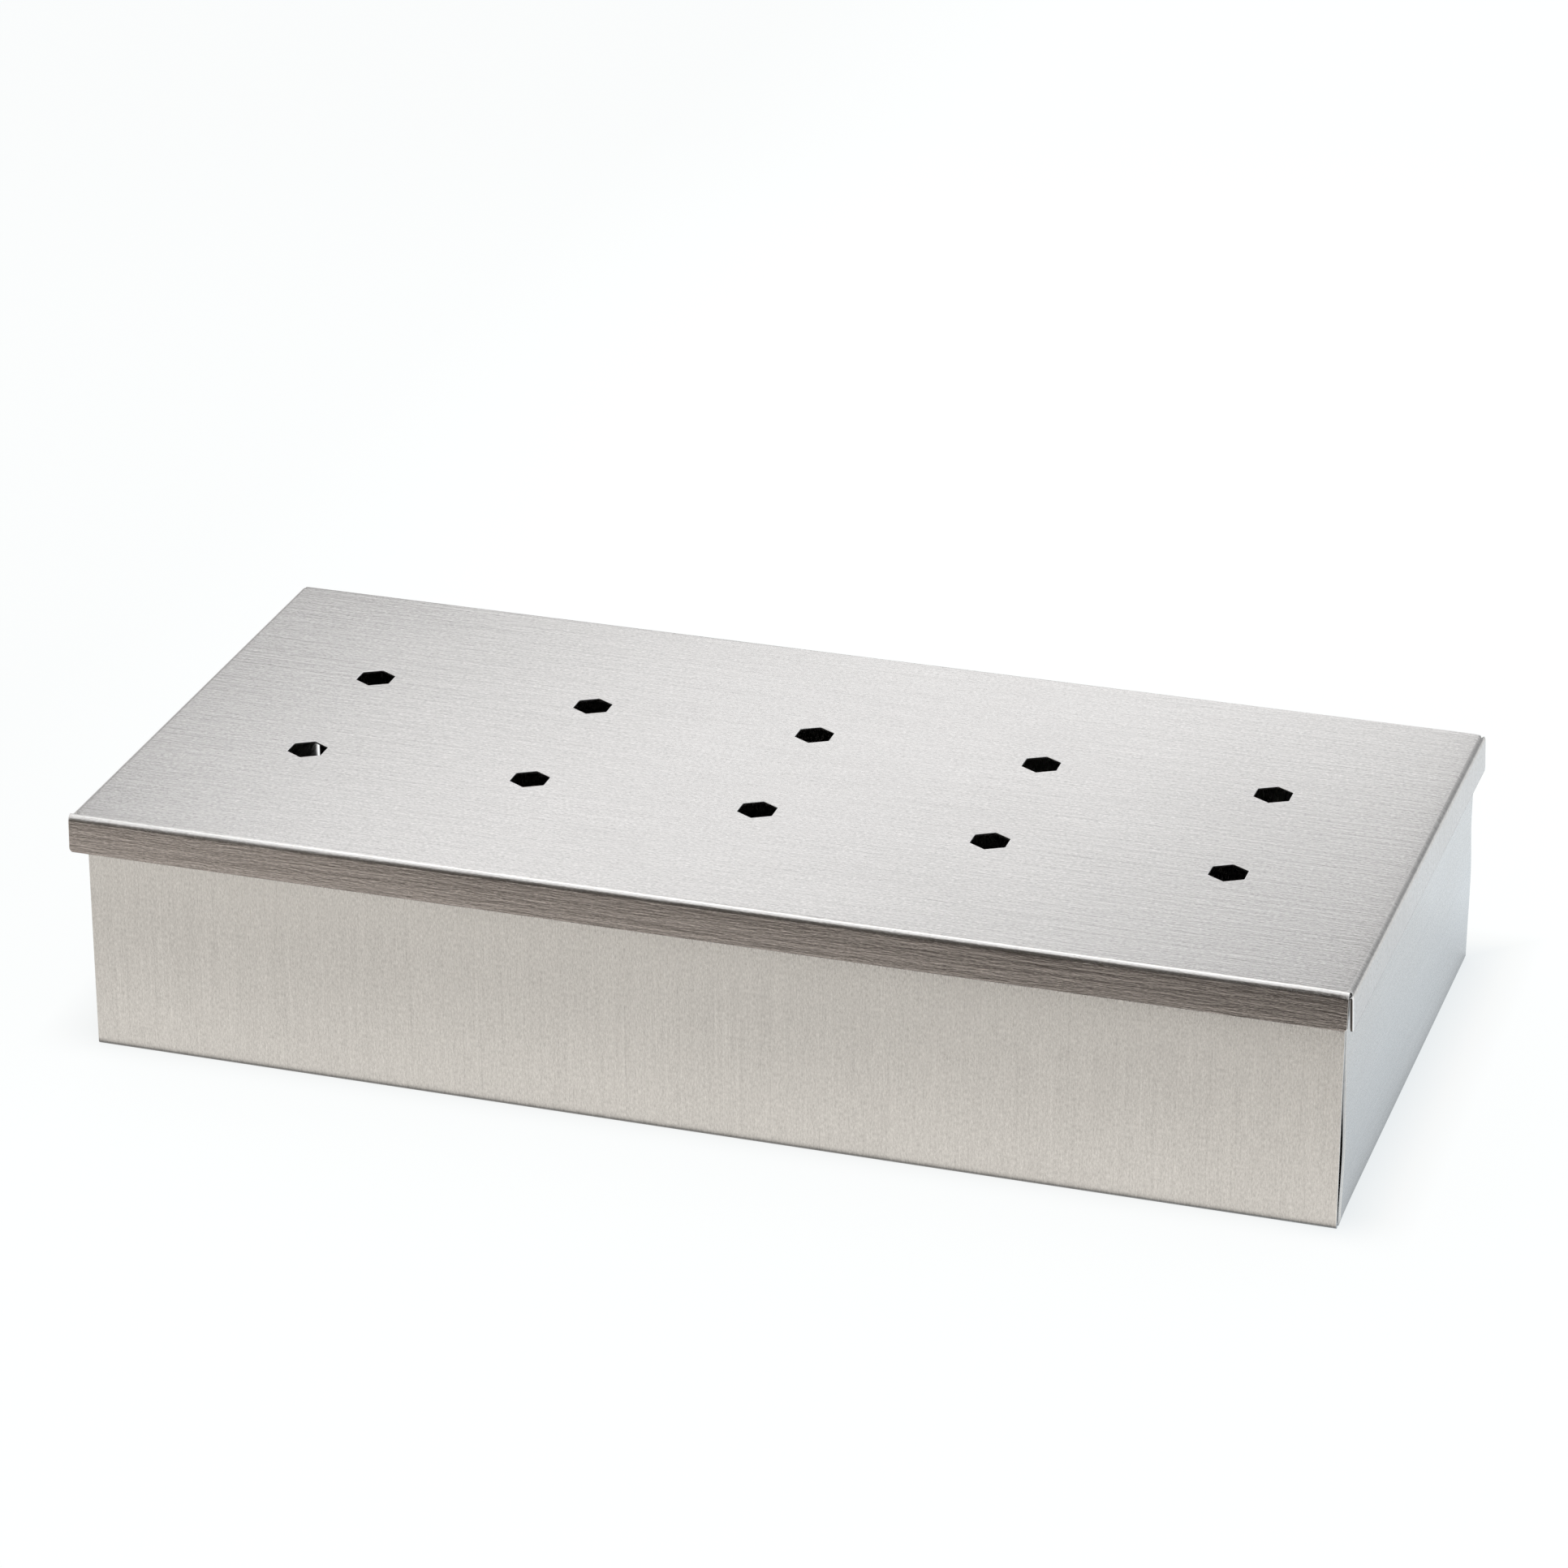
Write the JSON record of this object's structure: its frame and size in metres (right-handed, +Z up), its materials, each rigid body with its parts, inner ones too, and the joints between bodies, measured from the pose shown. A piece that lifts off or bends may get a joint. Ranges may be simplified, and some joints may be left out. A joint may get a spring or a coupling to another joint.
{
  "type": "grill smoker box",
  "caption": "Low oblong smoker box for a grill: a folded sheet-steel tray with a vented, hinged lid that holds wood chips over the fire.",
  "frame": {"origin": "on the surface that the box stands on, below the middle of the closed box's outline", "axes": "+X along the box, to the right when its front is faced, +Z up, and the front at -Y"},
  "size_m": [0.21, 0.1032, 0.041],
  "materials": {
    "tray_steel": "stainless sheet with a fine brushed grain that runs up the front and rear walls",
    "lid_steel": "stainless sheet with a fine brushed grain along the lid",
    "leaf_steel": "rolled stainless strip, lightly brushed",
    "pin_steel": "drawn stainless wire, smooth"
  },
  "bodies": {
    "tray_body": {"tray": "tray_steel", "left_hinge_tray_leaf": "leaf_steel", "left_hinge_pin": "pin_steel", "right_hinge_tray_leaf": "leaf_steel", "right_hinge_pin": "pin_steel"},
    "lid_body": {"lid": "lid_steel", "left_hinge_lid_leaf": "leaf_steel", "right_hinge_lid_leaf": "leaf_steel"}
  },
  "joints": [
    {"name": "lid_hinge", "type": "hinge", "parent": "tray_body", "child": "lid_body", "pos_m": [0, 0.05005, 0.0317], "axis": [-1, 0, 0], "range_deg": [0, 180]}
  ]
}
